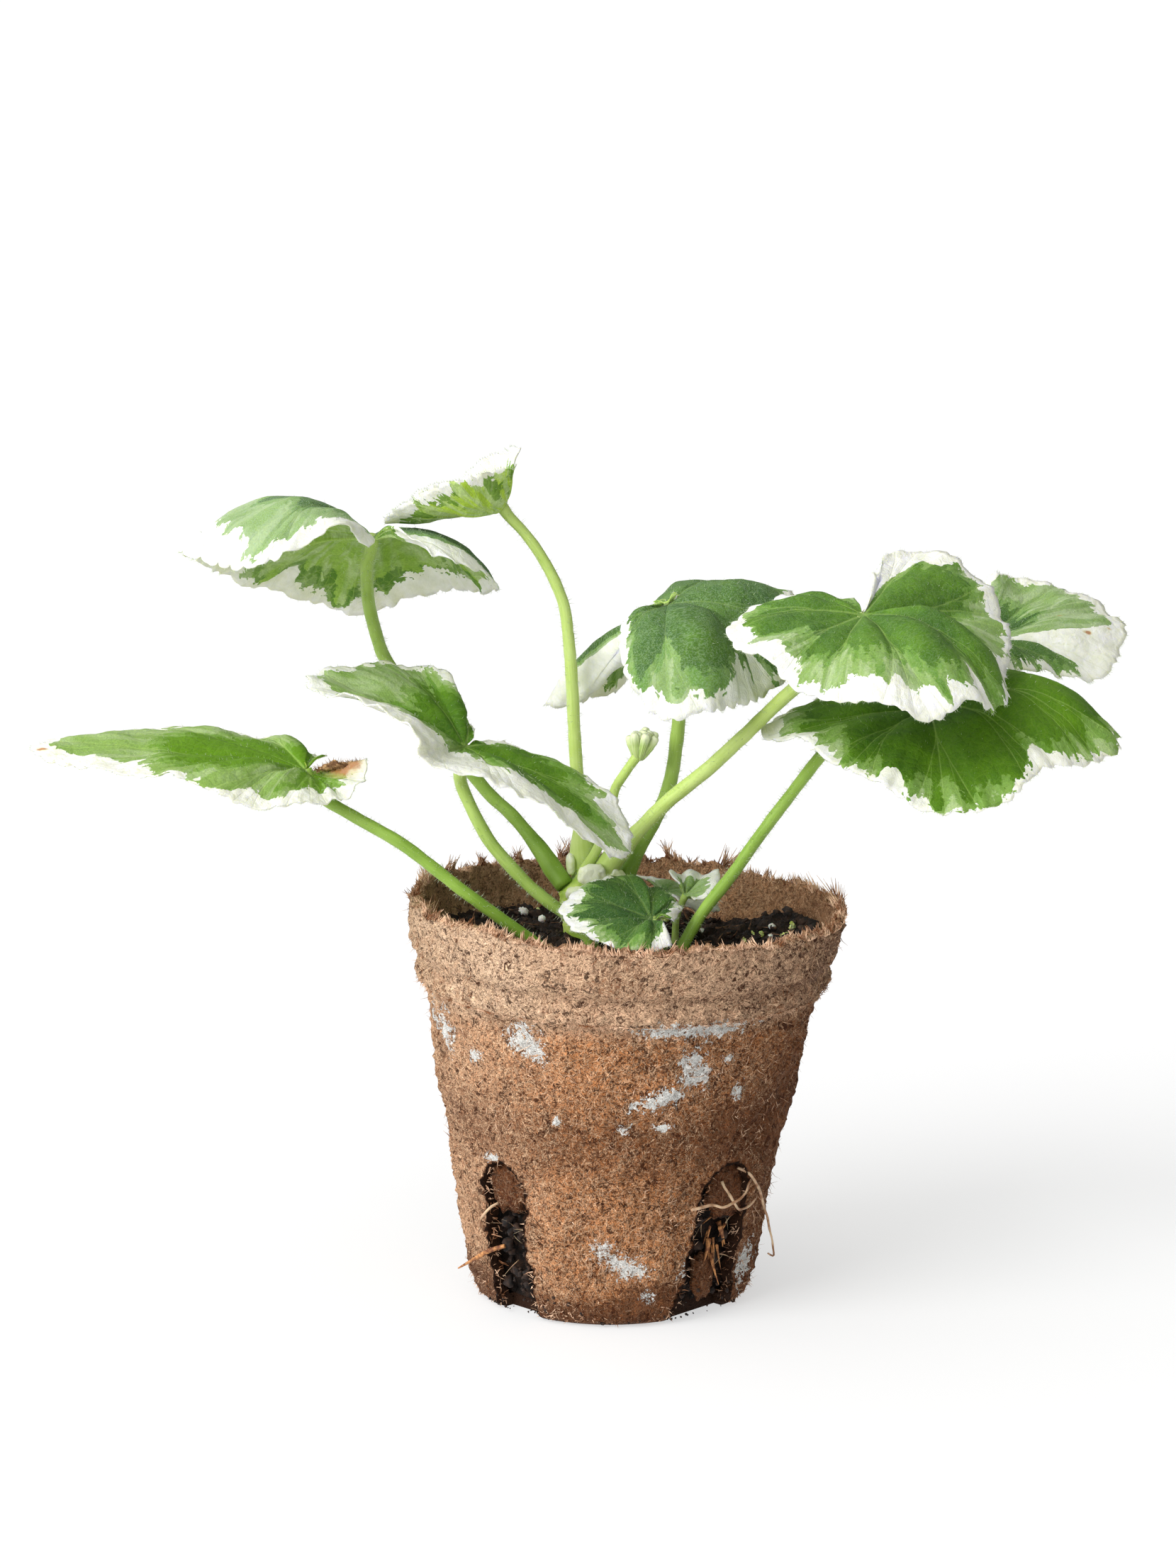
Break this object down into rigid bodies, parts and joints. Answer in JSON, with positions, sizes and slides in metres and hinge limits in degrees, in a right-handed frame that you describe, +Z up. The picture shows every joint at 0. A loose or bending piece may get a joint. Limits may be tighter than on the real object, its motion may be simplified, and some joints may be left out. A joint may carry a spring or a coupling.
{
  "type": "potted geranium",
  "caption": "Young zonal geranium with scalloped, cream-edged leaves on long stalks, rooted in soil in a round fibre pot with drainage slots at its foot.",
  "frame": {"origin": "centre of the pot's flat underside", "axes": "+Z up along the pot, -Y towards the picture's camera, +X to the picture's right, along the plant's widest spread"},
  "size_m": [0.205, 0.0851, 0.1573],
  "materials": {
    "pot": "matte",
    "soil": "matte",
    "crown": "satin",
    "stalk": "satin",
    "blade": "matte",
    "bud": "matte",
    "root": "matte"
  },
  "bodies": {
    "root": {"pot": "pot", "soil": "soil", "crown": "crown", "stalk_a": "stalk", "leaf_a": "blade", "stalk_b": "stalk", "leaf_b": "blade", "stalk_c": "stalk", "leaf_c": "blade", "stalk_e": "stalk", "leaf_e": "blade", "stalk_f": "stalk", "leaf_f": "blade", "stalk_g": "stalk", "leaf_g": "blade", "stalk_h": "stalk", "leaf_h": "blade", "stalk_i": "stalk", "leaf_i": "blade", "stalk_j": "stalk", "leaf_j": "blade", "stalk_k": "stalk", "leaf_k": "blade", "stalk_l": "stalk", "leaf_l": "blade", "bud_stalk": "stalk", "bud_head": "bud", "root_1": "root", "root_2": "root", "root_3": "root", "root_4": "root"}
  },
  "joints": []
}
